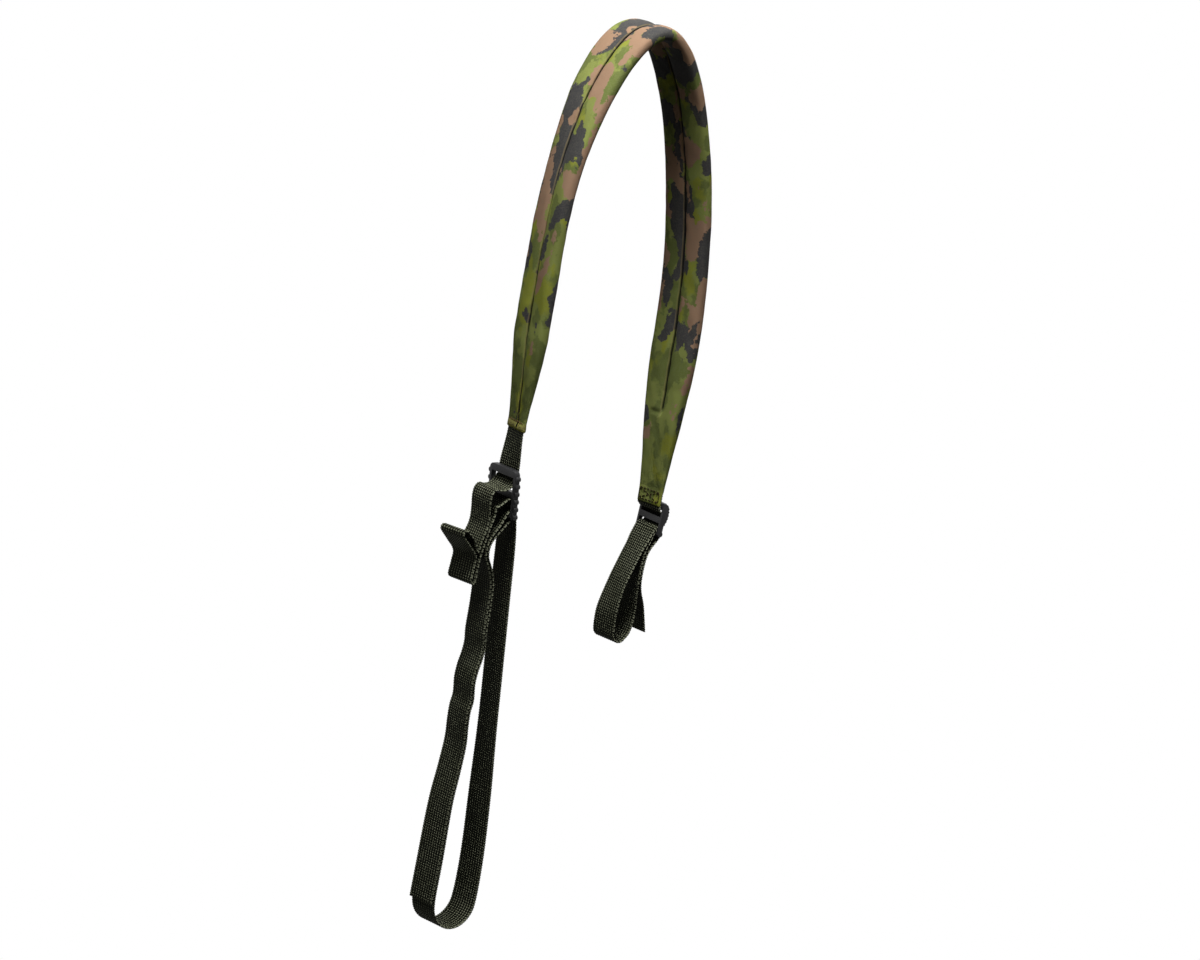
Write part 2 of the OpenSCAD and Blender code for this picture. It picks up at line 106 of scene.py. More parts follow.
# Stage, in metres
FLOOR_Z, FLOOR_SIZE, FLOOR_SHADE = -0.82, 14, (0.1, 0.32)
ROOM_LIGHT = 0.03
LIGHT_AIM = Vector((0, 0, -0.15))
LIGHTS = (  # name, place, size, spread in degrees, power in watts
    ("key", (-0.36, -0.3, 1.1), 0.5, 90, 8.2),
    ("fill", (-1.2, -0.22, 1.15), 0.9, 180, 8.5),
    ("back", (1.9, 1.3, 1.5), 1.6, 180, 36))

# Camera: turn, lift and roll in degrees, how far off it is, how wide it sees, and what it looks at
CAMERA_TURN, CAMERA_LIFT, CAMERA_ROLL = 45, 10, 10
CAMERA_FAR, CAMERA_WIDE, SENSOR = 4.39, 0.8784, 36
CAMERA_TOP, CAMERA_RIGHT, CAMERA_DOWN = 0.0055, 0.0206, 0.3309


# Curves in the XZ plane, made in the same way as those of the solids
def pt(x, z):
    return Vector((x, z))


def polar(degrees, r=1.0):
    a = math.radians(degrees)
    return pt(math.cos(a), math.sin(a)) * r


def ease(t):
    k = min(max(t, 0.0), 1.0)
    return k * k * (3 - 2 * k)


def arc(c, r, a, b, n):
    return [c + polar(a + (b - a) * k / n, r) for k in range(n + 1)]


def meet(c, r, p, s):
    """The angle at which a line from p touches the circle of radius r round c; s, 1 or -1, picks the side."""
    d = p - c
    return math.degrees(math.atan2(d.y, d.x)) + s * math.degrees(math.acos(r / d.length))


def bars(top, lean, pitch):
    """The middles of a slider's three bars, from the top one down."""
    a = math.radians(lean)
    return [top + pt(math.sin(a), -math.cos(a)) * pitch * k for k in range(3)]


def through(points, n=10):
    """A curve through every point, paced by the distance between points."""
    out = []
    ends = [2 * points[0] - points[1]] + points + [2 * points[-1] - points[-2]]
    for a, b, c, d in zip(ends, ends[1:], ends[2:], ends[3:]):
        t1 = math.sqrt(max((b - a).length, 0.001))
        t2 = t1 + math.sqrt(max((c - b).length, 0.001))
        t3 = t2 + math.sqrt(max((d - c).length, 0.001))
        for k in range(n):
            t = t1 + (t2 - t1) * k / n
            p = a.lerp(b, t / t1)
            q = b.lerp(c, (t - t1) / (t2 - t1))
            r = c.lerp(d, (t - t2) / (t3 - t2))
            before, after = p.lerp(q, t / t2), q.lerp(r, (t - t1) / (t3 - t1))
            out.append(before.lerp(after, (t - t1) / (t2 - t1)))
    return out + [points[-1]]


def paced(points, step):
    """The same curve cut into equal steps, as (place, tangent, run) rows."""
    runs = [0.0]
    for a, b in zip(points, points[1:]):
        runs.append(runs[-1] + (b - a).length)
    count = max(2, round(runs[-1] / step))
    places, i = [], 0
    for k in range(count + 1):
        s = runs[-1] * k / count
        while i < len(points) - 2 and runs[i + 1] < s:
            i += 1
        f = (s - runs[i]) / max(runs[i + 1] - runs[i], 1e-9)
        places.append((points[i].lerp(points[i + 1], f), s))
    rows = []
    for k, (p, s) in enumerate(places):
        t = places[min(k + 1, count)][0] - places[max(k - 1, 0)][0]
        rows.append((p, t.normalized(), s))
    return rows


# Meshes
WIDE_END = 40  # vertices


def edges_of(bm, ring):
    return [bm.edges.get((a, b)) for a, b in zip(ring, ring[1:] + ring[:1])]


def pull(bm, ring):
    """Extrudes a closed ring of vertices by one step and returns the new ring in the same order."""
    made = bmesh.ops.extrude_edge_only(bm, edges=edges_of(bm, ring))["geom"]
    new = {v for v in made if isinstance(v, bmesh.types.BMVert)}
    return [next(o for o in (e.other_vert(v) for e in v.link_edges) if o in new) for v in ring]


def tube(name, rings):
    """A closed form pulled through equal rings of (place, across, run).

    Across and run become its UV map. A wide end is closed with a row of quads, a small one with one face.
    """
    bm = bmesh.new()
    across, run = (bm.verts.layers.float.new(n) for n in ("across", "run"))
    ring = [bm.verts.new() for _ in rings[0]]
    for a, b in zip(ring, ring[1:] + ring[:1]):
        bm.edges.new((a, b))
    first = ring
    for k, row in enumerate(rings):
        if k:
            ring = pull(bm, ring)
        for v, (co, a, s) in zip(ring, row):
            v.co = co * MM
            v[across], v[run] = a * MM, s * MM
    for end in (first, ring):
        if len(end) > WIDE_END:
            for j in range(len(end) // 2 - 1):
                corners = [end[j], end[j + 1], end[-2 - j], end[-1 - j]]
                if len(set(corners)) == 4:
                    bm.faces.new(corners)
        else:
            bmesh.ops.contextual_create(bm, geom=edges_of(bm, end))
    bmesh.ops.recalc_face_normals(bm, faces=bm.faces)
    uv = bm.loops.layers.uv.new("weave")
    for f in bm.faces:
        f.smooth = True
        for l in f.loops:
            l[uv].uv = (l.vert[across], l.vert[run])
    return finished(name, bm)


def finished(name, bm):
    mesh = bpy.data.meshes.new(name)
    bm.to_mesh(mesh)
    bm.free()
    piece = bpy.data.objects.new(name, mesh)
    bpy.context.collection.objects.link(piece)
    return piece


# Materials: a socket that can be used in Python sums, and a finish that makes its nodes
class Wire:
    def __init__(self, finish, socket):
        self.finish, self.socket = finish, socket

    def sum(self, op, a, b=0.0):
        return self.finish.node("ShaderNodeMath", {"operation": op}, {0: a, 1: b})

    def __add__(self, o): return self.sum("ADD", self, o)
    def __radd__(self, o): return self.sum("ADD", o, self)
    def __sub__(self, o): return self.sum("SUBTRACT", self, o)
    def __rsub__(self, o): return self.sum("SUBTRACT", o, self)
    def __mul__(self, o): return self.sum("MULTIPLY", self, o)
    def __rmul__(self, o): return self.sum("MULTIPLY", o, self)
    def __pow__(self, o): return self.sum("POWER", self, o)
    def sin(self): return self.sum("SINE", self)
    def abs(self): return self.sum("ABSOLUTE", self)

    def step(self, lo, hi):
        """0 below lo, 1 above hi and smooth between."""
        return self.finish.node("ShaderNodeMapRange", {"interpolation_type": "SMOOTHSTEP"},
                                {"Value": self, "From Min": lo, "From Max": hi})


class Finish:
    def __init__(self, name, kept_in=bpy.data.materials):
        self.material = kept_in.new(name)
        self.material.use_nodes = True
        self.tree = self.material.node_tree
        self.tree.nodes.clear()

    def node(self, kind, settings=None, sockets=None, out=0):
        n = self.tree.nodes.new(kind)
        for key, value in (settings or {}).items():
            setattr(n, key, value)
        for key, value in (sockets or {}).items():
            if isinstance(value, Wire):
                self.tree.links.new(value.socket, n.inputs[key])
            else:
                n.inputs[key].default_value = value
        return Wire(self, n.outputs[out]) if n.outputs else None

    def place(self, uv=False):
        return self.node("ShaderNodeTexCoord", out="UV" if uv else "Object")

    def split(self, vector):
        made = self.node("ShaderNodeSeparateXYZ", sockets={0: vector})
        return [Wire(self, made.socket.node.outputs[k]) for k in range(3)]

    def shift(self, vector, by):
        return self.node("ShaderNodeVectorMath", {"operation": "ADD"}, {0: vector, 1: by})

    def grain(self, vector, scale, detail=2.0, rough=0.5, out=0):
        return self.node("ShaderNodeTexNoise", sockets={
            "Vector": vector, "Scale": scale, "Detail": detail, "Roughness": rough}, out=out)

    def mix(self, factor, a, b):
        return self.node("ShaderNodeMix", {"data_type": "RGBA"}, {0: factor, 6: a, 7: b}, out=2)

    def bump(self, height, distance, strength=1.0):
        return self.node("ShaderNodeBump", sockets={
            "Height": height, "Distance": distance, "Strength": strength})

    def surface(self, sockets):
        shader = self.node("ShaderNodeBsdfPrincipled", sockets=sockets)
        self.node("ShaderNodeOutputMaterial", sockets={"Surface": shader})
        return self.material


def colour(r, g, b):
    """An sRGB colour in 0 to 255, made linear."""
    def linear(c):
        return ((c / 255 + 0.055) / 1.055) ** 2.4 if c > 10 else c / 255 / 12.92

    return linear(r), linear(g), linear(b), 1.0


def grey(level):
    return level, level, level, 1


def printed_cloth():
    """Ragged blotches with a little wear, the cloth's threads, its seam with painted shade in its crease and
    a painted highlight on its lip, and its front hem.
    """
    f = Finish("printed_cloth")
    p = f.place()
    ragged = f.node("ShaderNodeVectorMath", {"operation": "MULTIPLY_ADD"}, {
        0: f.grain(p, 230, 3, 0.6, out=1), 1: (0.008,) * 3, 2: f.shift(p, (-0.004,) * 3)})
    ragged = f.node("ShaderNodeVectorMath", {"operation": "MULTIPLY"}, {
        0: ragged, 1: (1.1, 1.1, 0.65)})
    x, _, z = f.split(p)
    high = (z + x * 0.4).step(-0.285, -0.13)

    def blotch(offset, scale, edge, rise, soft=0.006):
        n = f.grain(f.shift(ragged, offset), scale, 1.5, 0.5)
        return (n + high * rise).step(edge - soft, edge + soft)

    olive, deep, bright = colour(122, 130, 68), colour(96, 105, 55), colour(128, 133, 50)
    charcoal, tan = colour(62, 61, 62), colour(142, 114, 92)
    tone = f.mix(blotch((4.1, 0.3, 2.2), 60, 0.50, 0.0, 0.03), olive, deep)
    tone = f.mix(blotch((1.7, 6.2, 3.1), 54, 0.625, 0.045, 0.05), tone, bright)
    tone = f.mix(blotch((8.31, 2.62, 9.43), 44, 0.69, 0.185), tone, charcoal)
    tone = f.mix(blotch((3.9, 7.5, 0.8), 50, 0.70, 0.145), tone, tan)
    u, v, _ = f.split(f.place(uv=True))
    stop, per_thread = PAD_RUN * MM, math.pi / 0.0007
    threads = (u * per_thread).sin() * (v * per_thread).sin()
    wear = f.grain(p, 900, 2, 0.6)
    wear_and_painted_seam_light = f.mix(wear.step(0.35, 0.75) * 0.12, tone, colour(140, 138, 112))
    along = v.step(0.006, 0.0065) * (1 - v.step(stop - 0.066, stop - 0.062))
    # Painted highlight: a lighter strip of cloth along the lip beside the seam, standing in for the light on
    # that raised lip
    lip = u.step(0.0007, 0.0011) * (1 - u.step(0.0014, 0.0018)) * along
    wear_and_painted_seam_light = f.mix(lip * 0.35, wear_and_painted_seam_light, colour(140, 124, 84))
    # Painted shade: near-black cloth in the seam's crease, standing in for the shadow in the groove; it stops
    # where the inner seam stops
    crease = u.step(-0.0012, -0.0006) * (1 - u.step(0.0006, 0.0011))
    crease = crease * (1 - v.step(stop - 0.074, stop - 0.071))
    wear_and_painted_seam_light = f.mix(crease * 0.85, wear_and_painted_seam_light, colour(14, 13, 8))
    band = 1 - v.step(0.0060, 0.0066)
    mottled = f.mix(f.grain(p, 300, 2, 0.5).step(0.4, 0.6), colour(136, 129, 68), colour(119, 100, 66))
    wear_and_painted_seam_light = f.mix(band * 0.55, wear_and_painted_seam_light, mottled)
    turned = 1 - v.step(0.0012, 0.0022)
    wear_and_painted_seam_light = f.mix(turned * 0.7, wear_and_painted_seam_light, colour(148, 146, 64))
    height = threads * 0.3 + wear * 0.8 + f.grain(p, 120, 3, 0.5) * 1.6
    return f.surface({
        "Base Color": wear_and_painted_seam_light, "Roughness": 0.80 + wear * 0.12,
        "Normal": f.bump(height, 0.0004, 0.5),
        "Specular IOR Level": 0.05})


def woven_nylon():
    """Painted shade on the ground between the weave's knots and a painted highlight on each knot, with
    lighter dashes along the edges that are partly the edge yarn and partly painted highlight.
    """
    f = Finish("woven_nylon")
    u, v, _ = f.split(f.place(uv=True))
    half, pitch = WEB_W * MM / 2, WEB_W * MM / KNOTS
    column = ((u + half) * (math.pi / pitch)).sin().abs()
    row = (v * (math.pi / (KNOT_L * MM))).sin().abs()
    edge = u.abs().step(half - 0.0007, half - 0.0002)
    knot = row * (column + edge * (1 - column))
    yarn = (u * (2 * math.pi / (pitch / 4))).sin()
    p = f.place()
    patch = f.grain(p, 60, 3, 0.6)
    fuzz = f.grain(p, 1500, 2, 0.6)
    selvedge = (v * (math.pi / (2 * KNOT_L * MM))).sin().abs()
    # Painted highlight: the raised knots and the edge dashes are made light, standing in for the light that
    # catches them
    dot = (row * column ** 1.8 * (1 - edge) + selvedge * edge).step(0.3, 0.8)
    light = f.mix(patch.step(0.3, 0.7), colour(100, 103, 82), colour(122, 125, 104))
    # Partly painted highlight: the edge yarn is made lighter still, standing in for the light that catches
    # the scalloped edge
    light = f.mix(edge * 0.5, light, colour(150, 152, 132))
    # Painted shade: the ground between the knots is near-black, standing in for the shade in the weave's
    # hollows
    tone = f.mix(dot, colour(11, 12, 8), light)
    tone = f.mix(fuzz.step(0.4, 0.8) * 0.06, tone, colour(80, 82, 64))
    height = knot + yarn * 0.08 + fuzz * 0.15
    return f.surface({
        "Base Color": tone, "Roughness": 0.62 + fuzz * 0.2,
        "Normal": f.bump(height, 0.0003, 0.6),
        "Specular IOR Level": 0.03})


def moulded_plastic():
    f = Finish("moulded_plastic")
    p = f.place()
    speck = f.grain(p, 2600, 2, 0.6)
    flow = f.grain(p, 90, 3, 0.5)
    tone = f.mix(flow.step(0.3, 0.75), colour(24, 24, 25), colour(36, 36, 37))
    return f.surface({
        "Base Color": tone, "Roughness": 0.46 + speck * 0.16,
        "Normal": f.bump(speck, 0.00012, 0.4),
        "Specular IOR Level": 0.22})


def sewing_thread(name, light, dark):
    f = Finish(name)
    p = f.place()
    ply = f.grain(p, 1800, 2, 0.6)
    tone = f.mix(ply.step(0.35, 0.65), colour(*dark), colour(*light))
    return f.surface({
        "Base Color": tone, "Roughness": 0.6 + ply * 0.2,
        "Normal": f.bump(ply, 0.0002, 0.6),
        "Specular IOR Level": 0.05})


NYLON = woven_nylon()
PLASTIC = moulded_plastic()
TAN_THREAD = sewing_thread("tan_thread", (104, 78, 52), (62, 44, 28))
BROWN_THREAD = sewing_thread("brown_thread", (62, 52, 32), (40, 33, 20))
# The seam's thread: its own dark colour, pushed darker still as painted shade of the groove it lies in
SEAM_THREAD_AND_SHADE = sewing_thread("seam_thread_and_shade", (26, 22, 12), (10, 8, 5))


def dress(piece, finish, slot, *nodes):
    piece.data.materials.clear()
    piece.data.materials.append(finish)
    if nodes:
        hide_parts(*nodes)
    return piece


# Pad
def bez(a, b, c, d, n):
    out = []
    for k in range(n):
        t = k / n
        u = 1 - t
        out.append(u ** 3 * a + 3 * u ** 2 * t * b + 3 * u * t * t * c + t ** 3 * d)
    return out


def pad_line():
    return (
        [pt(FRONT_X, FRONT_END)]
        + bez(pt(FRONT_X, TOP_Z - FRONT_ARCH), pt(FRONT_X, TOP_Z - FRONT_ARCH * 0.47),
              pt(-HANDLE, TOP_Z), pt(0, TOP_Z), 60)
        + bez(pt(0, TOP_Z), pt(HANDLE, TOP_Z), pt(REAR_X, TOP_Z - REAR_ARCH * 0.51),
              pt(REAR_X, TOP_Z - REAR_ARCH), 60)
        + [pt(REAR_X, TOP_Z - REAR_ARCH), pt(REAR_X, REAR_END - REAR_LIP)])


def to_end(q):
    return q.y - (FRONT_END if q.x < 0 else REAR_END)


def half_w(q):
    end, wide = (FRONT_MOUTH_W, FRONT_TAPER) if q.x < 0 else (REAR_MOUTH_W, REAR_TAPER)
    return (end + (PAD_W - end) * ease(to_end(q) / wide)) / 2


def crown(q):
    return SEAM_H + (PAD_T / 2 - SEAM_H) * ease((to_end(q) - 9) / 64)


def seam_at(q):
    """Where the centre seam runs across the pad: it drifts off the middle towards each end."""
    drift, reach = (3.4, 95) if q.x < 0 else (2.0, 190)
    return -drift * (1 - ease(to_end(q) / reach))


def room_beside(q, sign):
    """The width of cloth from the seam to the pad's edge on one side."""
    return half_w(q) - seam_at(q) if sign > 0 else half_w(q) + seam_at(q)


def spread(q, w):
    """The place across the pad, in millimetres, of a share w from -1 to 1 with the seam at 0."""
    return seam_at(q) + w * room_beside(q, w)


def share(q, y):
    d = y - seam_at(q)
    return d / room_beside(q, d)


def pad_middle(q):
    """The middle of the pad, a little off the solids' line near its ends, where the cloth hangs aside."""
    aside = FRONT_MOUTH if q.x < 0 else REAR_MOUTH
    return Vector((q.x, aside * (1 - ease(to_end(q) / 90)), q.y))


def soft_noise(*p):
    return noise.noise(Vector(p))


def bell(x, middle, width):
    return math.exp(-((x - middle) / width) ** 2)


PAD_ROWS = paced(pad_line(), PAD_STEP)
PAD_RUN = PAD_ROWS[-1][2]


def pad_height(q, w, s, face):
    """How far the cloth stands off the pad's middle at a share w across it; face is 1 outside, -1 inside."""
    y, top, edge, end = spread(q, w) - seam_at(q), crown(q), 0.7, to_end(q)
    rear = q.x > 0
    sewn = ease((end - SEAM_STOP + 4) / 8) if rear and face < 0 else 1.0
    thin = 1 - 0.35 * ease((26 - end) / 20)
    t = abs(2 * abs(w) - 1)
    if abs(w) < 0.5:
        low = SEAM_H * sewn + top * (1 - sewn)
        h = low + (top - low) * (1 - t ** 4)
    else:
        h = edge + (top - edge) * (1 - t ** 3) ** 0.45
    h *= thin
    full = ease((top - SEAM_H) / 2.2)
    side = 1 if w > 0 else -1
    fade = min(1.0, (1 - abs(w)) * 6)
    rim = math.exp(-(1 - abs(w)) * half_w(q) / 4)
    crease = math.exp(-abs(y) / 5) * sewn
    # soft lumps, puckers beside the seam and the rim, and wrinkles
    h += fade * (0.30 + 0.5 * full) * 0.7 * soft_noise(s / 34, side * 3.1, face * 5.7)
    h += fade * (crease + rim) * 0.65 * soft_noise(s / 7.5, side * 1.7 + y / 9, face * 2.3 + 8)
    h += fade * 0.42 * soft_noise(s / 13 + y / 11, y / 8, face * 9.1)
    # the seam's groove, and the lip of cloth beside it
    h -= sewn * bell(y, 0, 0.6)
    h += sewn * 0.55 * bell(y, 1.3, 0.6)
    if not rear and end < HEM + 3:  # the turned hem
        h += fade * (0.75 * ease((HEM - end) / 1.2) - 0.5 * bell(end, HEM + 0.2, 0.9))
        h += fade * 0.3 * soft_noise(y / 3.0, end / 9, face)
    if rear and face < 0:  # folds at the inner seam's end and below it, and the turned end
        h -= fade * 1.7 * bell(end, SEAM_STOP - 1, 1.1) * ease((y + 2) / 3) * ease((13 - y) / 5)
        h -= fade * 0.35 * bell(y, 2, 1.4) * ease((46 - end) / 8) * ease((end - 16) / 5)
        h -= fade * 0.4 * bell(end, 11.5, 0.9)
        h += fade * 0.3 * ease((4 - end) / 0.8)
    if rear and face > 0 and end < LAP + 1:  # the outer cloth stops short of the end
        h = h + (-0.55 - h) * ease((LAP + 0.4 - end) / 0.8)
    return h


# Shares across half the pad at which its cloth has a row of vertices
COLUMNS = (0.02, 0.042, 0.075, 0.12, 0.18, 0.26, 0.36, 0.48, 0.6, 0.72, 0.82, 0.9, 0.95, 0.985, 1.0)


def pad_frame(q, tangent):
    a = TWIST * ease(-(q.y - TOP_Z) / 120) if q.x < 0 else 0.0
    side = Vector((math.sin(a), math.cos(a), 0))
    return side, Vector((tangent.x, 0, tangent.y)).cross(side).normalized()


def make_pad():
    shares = [-w for w in reversed(COLUMNS)] + [0.0] + list(COLUMNS)
    rings = []
    for q, tangent, s in PAD_ROWS:
        side, out = pad_frame(q, tangent)
        wide = 1 + 0.022 * soft_noise(s / 26, 0.4, 6.6)
        row = []
        for face, order in ((1, shares), (-1, shares[-2:0:-1])):
            for w in order:
                y = spread(q, w)
                h = face * pad_height(q, w, s, face) if abs(w) < 1 else 0.0
                row.append((pad_middle(q) + side * y * wide + out * h, y - seam_at(q), s))
        rings.append(row)
    return rings


CLOTH = printed_cloth()
pad = tube("pad", make_pad())
rounded = pad.modifiers.new("smooth", "SUBSURF")
rounded.levels = rounded.render_levels = 1
dress(pad, CLOTH, "cover",
      "pad_cover_outer", "pad_cover_inner", "pad_foam_outer", "pad_foam_inner", "core_webbing")
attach(pad, "pad")


def seam_line(name, face, start, stop, node):
    rings, around = [], [polar(45 * k, SEAM_R) for k in range(8)]
    for q, tangent, s in PAD_ROWS:
        if start <= s <= PAD_RUN - stop:
            side, out = pad_frame(q, tangent)
            h = pad_height(q, 0.0, s, face) + SEAM_LIFT
            c = pad_middle(q) + side * seam_at(q) + out * face * h
            rings.append([(c + side * d.x + out * d.y, d.x, s) for d in around])
    line = dress(tube(name, rings), SEAM_THREAD_AND_SHADE, "thread", node)
    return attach(line, "pad")


seam_line("seam_outer", 1, 1.5, LAP + 10, "seam_thread_outer")
seam_line("seam_inner", -1, 1.5, SEAM_STOP + 2, "seam_thread_inner")


def stitches(name, runs, thread, node):
    """Short threads between pairs of places, each sunk into the cloth at its ends."""
    bm = bmesh.new()
    for a, b, out in runs:
        d = b - a
        turn = d.to_track_quat("Z", "Y").to_matrix().to_4x4()
        made = bmesh.ops.create_uvsphere(bm, u_segments=10, v_segments=8, radius=0.5)["verts"]
        bmesh.ops.scale(bm, vec=(0.8, 0.8, d.length), verts=made)
        place = Matrix.Translation((a + b) / 2 + out * 0.12)
        bmesh.ops.transform(bm, matrix=place @ turn, verts=made)
    bmesh.ops.scale(bm, vec=(MM,) * 3, verts=bm.verts)
    for face in bm.faces:
        face.smooth = True
    piece = dress(finished(name, bm), thread, "thread", node)
    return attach(piece, "pad")


def on_pad(x, z, y, face):
    """A place on the cloth, and the way out of it, at a height on one of the straight legs."""
    q = pt(x, z)
    side, out = pad_frame(q, pt(0, 1 if x < 0 else -1))
    s = z - FRONT_END if x < 0 else PAD_RUN - (z - REAR_END)
    h = pad_height(q, share(q, y), s, face) + STITCH_LIFT
    return pad_middle(q) + side * y + out * face * h, out * face


def hem_runs():
    n, run, z = 7, END_W - 5, FRONT_END + HEM + 0.3
    for face in (1, -1):
        for k in range(n):
            start, stop = (on_pad(FRONT_X, z, -run / 2 + run * f / n, face) for f in (k + 0.08, k + 0.88))
            yield start[0], stop[0], start[1]


def box_runs():
    w, low, tall = (END_W - 7.5) / 2, 1.6, 8.0
    a, b, c, d = (-w, 0), (w, 0), (w, tall), (-w, tall)
    for (y0, z0), (y1, z1) in ((a, b), (b, c), (c, d), (d, a), (a, c), (b, d)):
        n = max(3, round(math.hypot(y1 - y0, z1 - z0) / 3.4))
        for k in range(n):
            start, stop = (
                on_pad(REAR_X, REAR_END + low + z0 + (z1 - z0) * f, y0 + (y1 - y0) * f, -1)
                for f in ((k + 0.1) / n, (k + 0.86) / n))
            yield start[0], stop[0], start[1]


stitches("front_hem_stitches", list(hem_runs()), TAN_THREAD, "front_hem_stitch")
stitches("rear_box_stitches", list(box_runs()), BROWN_THREAD, "rear_box_stitch")


# Webbing
def webbing(name, rows, node):
    """A woven strap along rows of (place, across, out, run), its knots raised and its edges scalloped."""
    half, n = WEB_W / 2, 2 * KNOTS
    rings = []
    for i, (c, side, out, s) in enumerate(rows):
        row = []
        for face, order in ((1, range(n + 1)), (-1, range(n, -1, -1))):
            for j in order:
                y = -half + WEB_W * j / n
                h = KNOT_H if i % 2 and j % 2 else GROUND_H
                if j in (0, n):
                    h, wide = EDGE_KNOT if i % 2 else EDGE_GROUND
                    y *= wide
                row.append((c + side * y + out * face * h, y, s))
        rings.append(row)
    return dress(tube(name, rings), NYLON, "webbing", node)


def flat_rows(points, yaw, aside, sway=0.0, seed=0.0):
    """Rows for a strap that follows a curve in the XZ plane.

    yaw turns it about the vertical, aside moves it in Y and sway rolls it softly about its own line.
    """
    rows = []
    for p, t, s in paced(through(points), KNOT_L / 2):
        along = Vector((t.x, 0, t.y))
        a = math.radians(yaw(p))
        roll = Matrix.Rotation(sway * soft_noise(s / 60, seed, 2.2), 3, along)
        side = roll @ Vector((math.sin(a), math.cos(a), 0))
        rows.append((Vector((p.x, aside(p), p.y)), side, along.cross(side).normalized(), s))
    return rows


def slack_yaw(p):
    out = front_bars[1].x - p.x
    return (FRONT_TURN + 1.5 * ease((out - 4) / 11)) * (1 - 1.3 * ease((out - 20) / 9))


def loop_yaw(p):
    deep = front_bars[2].y - p.y
    return (FRONT_TURN + 1.5 * ease((deep - 5) / 18)) * (1 - ease((deep - 150) / 120))


def front_aside(p):
    return FRONT_ASIDE * (1 - ease((front_bars[2].y - p.y - 20) / 80))


front_bars = bars(pt(FRONT_X - 1.6, FRONT_END - STUB), FRONT_LEAN, PITCH)
rear_off = math.hypot(SLIDER_T, TOP_BAR) / 2 + REAR_ROOM + WEB_T / 2
rear_top = pt(REAR_X + rear_off, REAR_END + REAR_TUCK)
rear_bars = bars(rear_top, -REAR_LEAN, REAR_PITCH)
bar_face = polar(FRONT_LEAN).dot(pt(SLIDER_T, TOP_BAR)) / 2
stub_x = front_bars[0].x + bar_face + GAP + WEB_T / 2
stub_foot = front_bars[0].y - 0.5
loop_leave = front_bars[2] + pt(9, -18)
loop_start = meet(front_bars[2], WRAP_2, loop_leave, 1)


def stub_rows():
    head = FRONT_END + 2.5
    count = round((head - stub_foot) / (KNOT_L / 2))
    rows = []
    for i in range(count + 1):
        z = head + (stub_foot - head) * i / count
        k = ease((FRONT_END - z) / (FRONT_END - stub_foot))
        a = math.radians(FRONT_TURN) + (TWIST - math.radians(FRONT_TURN)) * (1 - k)
        y = FRONT_ASIDE + (FRONT_MOUTH - FRONT_ASIDE) * (1 - k)
        side, out = Vector((math.sin(a), math.cos(a), 0)), Vector((-math.cos(a), math.sin(a), 0))
        rows.append((Vector((FRONT_X + (stub_x - FRONT_X) * k, y, z)), side, out, head - z))
    return rows


def slack_points():
    m, low = front_bars[1], front_bars[2]
    half = MID_BAR / 2
    pinch = m + pt(-SLACK_OUT - 2.6, -SLACK_DROP * 0.62)
    tip = pinch + pt(-TAB_OUT + 1.8, TAB_RISE + 0.4)
    fold = m + pt(-SLACK_OUT - 1.9, -SLACK_DROP + 3.4)
    bend = m + pt(-SLACK_OUT * 0.47, -half - 9.0)

    def hung(out, drop):
        return m + pt(-SLACK_OUT * out, -SLACK_DROP * drop)

    return (
        [pt(stub_x + 0.15, stub_foot - GAP),
         pt(stub_x - 0.1, m.y + 13.0),
         m + pt(1.4, 10.9),
         m + pt(-0.7, 7.8),
         m + pt(-2.7, 5.3),
         m + pt(-SLACK_OUT * 0.23, half + 1.4),
         m + pt(-SLACK_OUT * 0.35, half + 0.7),
         m + pt(-SLACK_OUT * 0.50, half + 0.5),
         m + pt(-SLACK_OUT * 0.68, half + 1.1),
         m + pt(-SLACK_OUT * 0.81, 0.6)]
        + [hung(0.85, 0.075), hung(0.8, 0.22), hung(0.79, 0.36), hung(0.93, 0.51)]
        + arc(pinch, 1.5, -25, -140, 6)
        + [pinch.lerp(tip, 0.5) + pt(1.9, 1.6)]
        + arc(tip, 2.5, 50, 222, 6)
        + [pinch.lerp(tip, 0.55) + pt(-0.4, -4.0), pinch + pt(-1.3, -5), hung(1.165, 0.82)]
        + arc(fold, 3.0, -180, 0, 6)
        + [hung(0.94, 0.82), hung(0.88, 0.68), hung(0.76, 0.5), hung(0.66, 0.35), hung(0.57, 0.24)]
        + arc(bend, 2.2, 180, 75, 4)
        + [m + pt(-SLACK_OUT * 0.29, -half - 4.0),
           m + pt(-SLIDER_T / 2, -half - 1.4),
           m + pt(SLIDER_T * 0.4, -half - 1.3),
           m + pt(SLIDER_T * 0.9, -half - 4.4)]
        + arc(low, WRAP_2, 52, loop_start + 2.8, 4))


